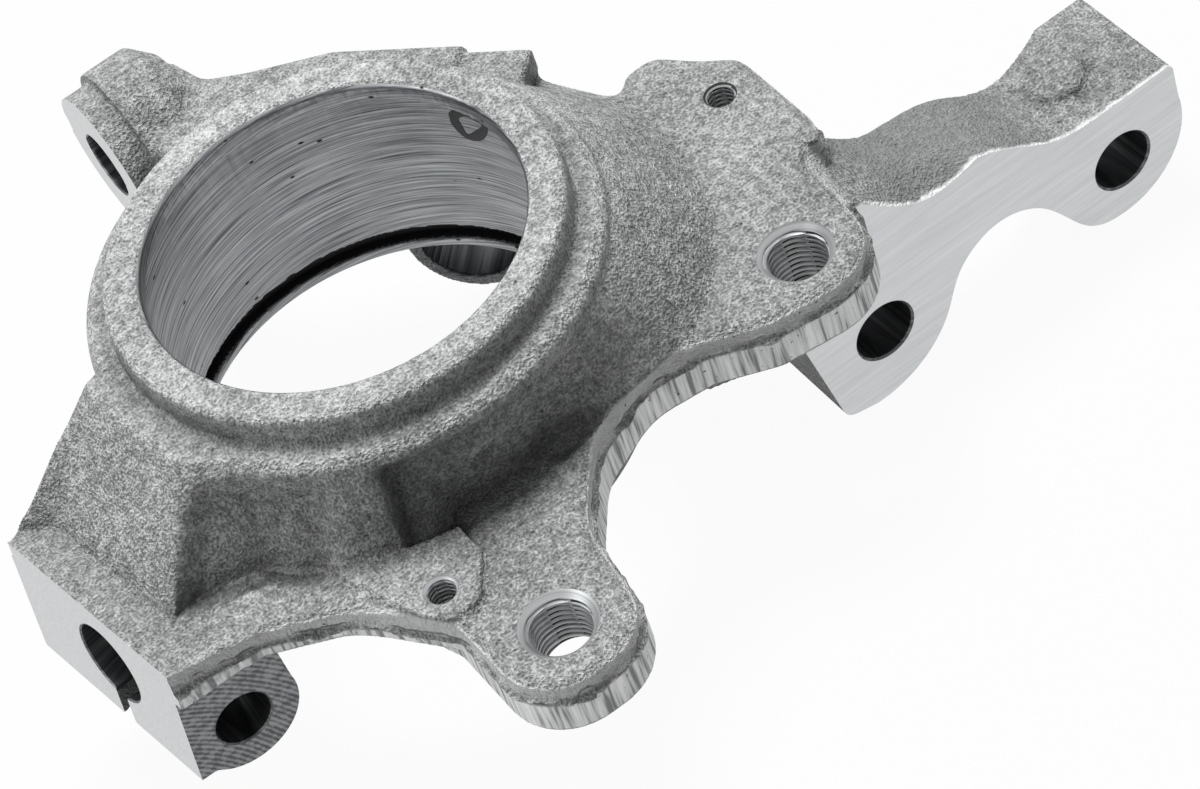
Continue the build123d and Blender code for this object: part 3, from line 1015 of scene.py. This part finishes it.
    def cutters(self) -> list[Shell]:
        """Everything the machine shop takes off the casting: bores and threads, then flat faces.

        Returns:
            The cutters in the order that they are used.
        """
        shells = [self.bearing_cutter()]
        shells += [thread.cutter(self.flange, self.ear) for thread in THREADS]
        for hole in self.strut_holes():
            shells.append(lathe([(hole.radius, -self.lug_depth - 3), (hole.radius, -0.4),
                                 (hole.radius + 0.5, 0.1), (hole.radius + 0.5, 3)], hole.centre, hole.axis))
        for name in ("stud_clamp", "tie_rod_hole", "pinch_bolt_hole", "pinch_bolt_thread", "sensor_hole"):
            hole = Mount.read(name)
            half = hole.length / 2
            beyond = self.rod_runout if name == "tie_rod_hole" else self.hole_runout
            shells.append(lathe([(hole.radius, -half - beyond), (hole.radius, half - 0.3),
                                 (hole.radius + 0.4, half + 0.1), (hole.radius + 0.4, half + 4)],
                                hole.centre, hole.axis))
        lug, end, boss, cheek = self.machined_planes()
        below_ear = self.flange - self.ear - 0.8 - lug.point[2]
        cheek_top = self.rim - self.cheek_drop - cheek.point[2]
        for plane, spans in ((lug, (-50, 50, -60, below_ear)), (lug, (self.lug_step, 50, below_ear - 1, 40)),
                             (end, (-60, 60, -60, 60)), (boss, (-17, 17, -17, 17)),
                             (cheek, (-40, 14, -40, cheek_top))):
            shells.append(slab(plane.point, plane.outward, spans, self.cutter_height))
        return shells

    def machine(self, obj: bpy.types.Object) -> None:
        """Take the cutters off the body one at a time, so that touching cutters never meet.

        Args:
            obj: the cast body.
        """
        for number, shell in enumerate(self.cutters()):
            tool = place_object(f"cutter_{number}", shell.mesh(f"cutter_{number}"))
            step = obj.modifiers.new(f"cut_{number}", "BOOLEAN")
            step.operation = "DIFFERENCE"
            step.solver = "MANIFOLD"
            step.object = tool
            self.bake(obj)
            bpy.data.objects.remove(tool)

    def dress(self, obj: bpy.types.Object) -> None:
        """Give each face its finish and shade the mesh smooth between sharp edges.

        Args:
            obj: the machined casting.
        """
        mesh = obj.data
        mesh.materials.clear()
        for finish in (CastSkin(self.rim - self.parting_drop, self.trimmed_band), *MACHINED):
            mesh.materials.append(finish.build())
        mesh.polygons.foreach_set("material_index", self.finishes(mesh))
        mesh.shade_smooth()
        mesh.set_sharp_from_angle(angle=math.radians(self.sharp_angle))
        mesh.update()

    def finishes(self, mesh: bpy.types.Mesh) -> np.ndarray:
        """Finish of each face by the tool that made it, found from its place and direction.

        Args:
            mesh: the machined casting's mesh.
        Returns:
            A Finish number for each face.
        """
        centre = rows(mesh.polygons, "center") / MM
        normal = rows(mesh.polygons, "normal")
        kind = np.full(len(centre), Finish.SKIN, np.int32)
        for plane in self.machined_planes():
            gap = np.abs((centre - plane.point) @ plane.outward)
            kind[(gap < 0.01) & (normal @ plane.outward > 0.99)] = plane.finish
        seat_r = Mount.read("bearing_bore").radius
        radial = np.hypot(centre[:, 0], centre[:, 1])
        inward = (normal[:, 0] * centre[:, 0] + normal[:, 1] * centre[:, 1]) / np.maximum(radial, 1)
        kind[(radial < seat_r + 2.5) & (inward < -0.5)] = Finish.SEAT
        kind[(radial < seat_r + 2.25) & (centre[:, 2] < 20)] = Finish.SEAT
        # how far past its radius each hole's countersink or chamfer may reach
        for name, flare in (("stud_clamp", 0.75), ("tie_rod_hole", 0.75), ("pinch_bolt_hole", 2.2),
                            ("sensor_hole", 0.75), ("caliper_upper", 2.2), ("caliper_lower", 2.2),
                            ("shield_upper", 0.75), ("shield_lower", 0.75)):
            hole = Mount.read(name)
            reach, facing, along = hole.around(centre, normal)
            near = (reach < hole.radius + flare) & (np.abs(along) < hole.length / 2 + 4)
            kind[near & (facing < -0.2)] = Finish.DRILLED
        for thread in THREADS:
            hole = Mount.read(thread.mount)
            reach, _, _ = hole.around(centre, normal)
            depth = self.flange - centre[:, 2]
            inside = (kind == Finish.DRILLED) & (reach < THREAD_REACH)
            kind[inside] = Finish.CREST
            groove = inside & (reach > thread.root) & (reach < thread.root + 1.2)
            kind[groove & (depth > thread.flare)] = Finish.ROOT
        groove_end = self.groove_top - self.groove_width
        kind[(radial > seat_r + 0.15) & (radial < seat_r + 2.6) & (centre[:, 2] < self.groove_top + 0.05)
             & (centre[:, 2] > groove_end - 0.05)] = Finish.ROOT
        for hole in self.strut_holes():
            reach, facing, _ = hole.around(centre, normal)
            kind[(reach < hole.radius + 0.6) & (facing < -0.2)] = Finish.DRILLED
        return kind


@dataclass(frozen=True)
class PaintMark:
    """Hand-drawn inspection loop in black marker on the bearing seat."""

    seat_r: float
    rim: float
    width: float = 1.7
    film: float = 0.09
    ink: str = "141416"
    steps: int = 72
    # angle in degrees and height over the rim of each corner
    corners: tuple[tuple[float, float], ...] = ((28.0, -12.0), (27.2, -15.0), (24.0, -16.1), (19.0, -13.2),
                                                (18.0, -10.6), (21.6, -9.8), (26.0, -10.4))

    def build(self) -> bpy.types.Object:
        """Closed strip along the loop, with its own ink.

        The strip's section is a flat rectangle: half the width to each side on the wall, at the seat's radius
        plus and minus the film.

        Returns:
            The mark.
        """
        middle, side = self.stroke()
        rings = []
        for sign, film in ((1, -self.film), (1, self.film), (-1, self.film), (-1, -self.film)):
            edge = middle + sign * side
            angle = edge[:, 0] / self.seat_r
            radius = self.seat_r + film
            rings.append(np.stack([radius * np.cos(angle), radius * np.sin(angle), edge[:, 1]], axis=1))
        index = np.arange(self.steps * 4).reshape(self.steps, 4)
        ahead = np.roll(index, -1, axis=0)
        quads = np.stack([index, np.roll(index, -1, axis=1), np.roll(ahead, -1, axis=1), ahead], axis=-1)
        mesh = Shell(np.stack(rings, axis=1).reshape(-1, 3), quads.reshape(-1, 4).tolist()).mesh("paint_mark")
        work = bmesh.new()
        work.from_mesh(mesh)
        bmesh.ops.recalc_face_normals(work, faces=work.faces)
        work.to_mesh(mesh)
        work.free()
        ink = new_material("marker_ink")
        shader = add_node(ink.node_tree, "BsdfPrincipled", {"Base Color": srgb(self.ink), "Roughness": 0.5})
        add_node(ink.node_tree, "OutputMaterial", {"Surface": shader[0]})
        mesh.materials.append(ink)
        return place_object("paint_mark", mesh)

    def stroke(self) -> tuple[np.ndarray, np.ndarray]:
        """Smooth loop through the corners on the unrolled wall: a periodic Fourier series of the corners.

        Returns:
            Distance round the wall and height of each point, and its sideways half stroke, which swells and
            thins.
        """
        knots = np.array(self.corners)
        waves = np.fft.rfft(knots, axis=0)
        turn = np.arange(self.steps) / self.steps
        order = np.arange(len(waves))
        weight = np.where(order == 0, 1.0, 2.0)
        swing = np.exp(2j * np.pi * turn[:, None] * order[None])
        loop = np.real(swing @ (waves * weight[:, None])) / len(knots)
        middle = np.stack([np.radians(loop[:, 0]) * self.seat_r, loop[:, 1] + self.rim], axis=1)
        along = np.roll(middle, -1, axis=0) - np.roll(middle, 1, axis=0)
        along /= np.linalg.norm(along, axis=1)[:, None]
        half = self.width / 2 * (1 + 0.25 * np.sin(turn * 22))
        return middle, np.stack([-along[:, 1], along[:, 0]], axis=1) * half[:, None]


# ---------------------------------------------------------------- the view
@dataclass(frozen=True)
class Studio:
    """White studio: the camera, a key and a fill lamp, a pale world and a floor, in metres."""

    lens: float = 122.47
    eye: tuple[float, float, float] = (-0.12748, -0.47683, 0.50396)
    tilt: tuple[float, float, float] = (40.2177, 14.0685, -34.7699)
    target: tuple[float, float, float] = (0.02, 0.0, 0.0)
    world_light: float = 0.16
    floor_half: float = 1.5
    floor_gap: float = 0.0005
    floor_grey: str = "b8b8b8"
    floor_white: float = 0.95  # share of plain white in what is seen of the floor

    def build(self) -> None:
        """Set the view, lamps, world and floor."""
        bpy.context.scene.view_settings.view_transform = "Standard"
        self.camera()
        self.world()
        self.lamp("key", (0.13, 0.38, 1.2), 0.45, 25.0)
        self.lamp("fill", (-1.1, 0.1, 0.5), 0.7, 5.0)
        self.floor()

    def camera(self) -> None:
        """Camera at the viewing angle."""
        lens = bpy.data.cameras.new("view")
        lens.lens = self.lens
        lens.sensor_width = 36
        lens.clip_start = 0.01
        eye = place_object("view", lens)
        eye.location = self.eye
        eye.rotation_euler = [math.radians(a) for a in self.tilt]
        bpy.context.scene.camera = eye

    def world(self) -> None:
        """White world that lights the part only softly."""
        world = bpy.data.worlds.new("studio")
        bpy.context.scene.world = world
        world.use_nodes = True
        tree = world.node_tree
        tree.nodes.clear()
        soft = add_node(tree, "Background", {"Color": srgb("ffffff"), "Strength": self.world_light})
        plain = add_node(tree, "Background", {"Color": srgb("ffffff"), "Strength": 1.0})
        mix = add_node(tree, "MixShader", {0: seen_directly(tree), 1: soft[0], 2: plain[0]})
        add_node(tree, "OutputWorld", {"Surface": mix[0]})

    def lamp(self, name: str, place: tuple[float, float, float], size: float, power: float) -> None:
        """Square lamp that points at the part.

        Args:
            name: the lamp's name.
            place: where it stands.
            size: its side.
            power: its power in watts.
        """
        light = bpy.data.lights.new(name, "AREA")
        light.size = size
        light.energy = power
        holder = place_object(name, light)
        holder.location = place
        aim = np.array(self.target) - np.array(place)
        yaw = math.atan2(aim[1], aim[0])
        pitch = math.atan2(-aim[2], math.hypot(aim[0], aim[1]))
        holder.rotation_euler = (math.pi / 2 - pitch, 0, yaw - math.pi / 2)

    def floor(self) -> None:
        """Floor just under the part: nearly white where it is seen, matt grey where light bounces off it."""
        half, low = self.floor_half, CAD_BOX[0][2] - self.floor_gap
        sheet = bpy.data.meshes.new("floor")
        corners = [(-half, -half, low), (half, -half, low), (half, half, low), (-half, half, low)]
        sheet.from_pydata(corners, [], [[0, 1, 2, 3]])
        white = new_material("floor_white")
        tree = white.node_tree
        matt = add_node(tree, "BsdfDiffuse", {"Color": srgb(self.floor_grey)})
        bright = add_node(tree, "Emission", {"Color": srgb("ffffff"), "Strength": 1.0})
        share = add_node(tree, "Math", {0: seen_directly(tree), 1: self.floor_white}, operation="MULTIPLY")
        mix = add_node(tree, "MixShader", {0: share[0], 1: matt[0], 2: bright[0]})
        add_node(tree, "OutputMaterial", {"Surface": mix[0]})
        sheet.materials.append(white)
        floor = place_object("floor", sheet)


def main() -> None:
    """Build the casting, its paint mark and the view, in order."""
    logging.basicConfig(level=logging.INFO)
    casting = Casting()
    obj = casting.build()
    obj.name = "cast_knuckle"
    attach(obj, "root")
    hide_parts(NODE)
    mark = PaintMark(Mount.read("bearing_bore").radius, casting.rim).build()
    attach(mark, "root")
    log.info("paint mark: %d faces", len(mark.data.polygons))
    Studio().build()


if __name__ == "__main__":
    main()
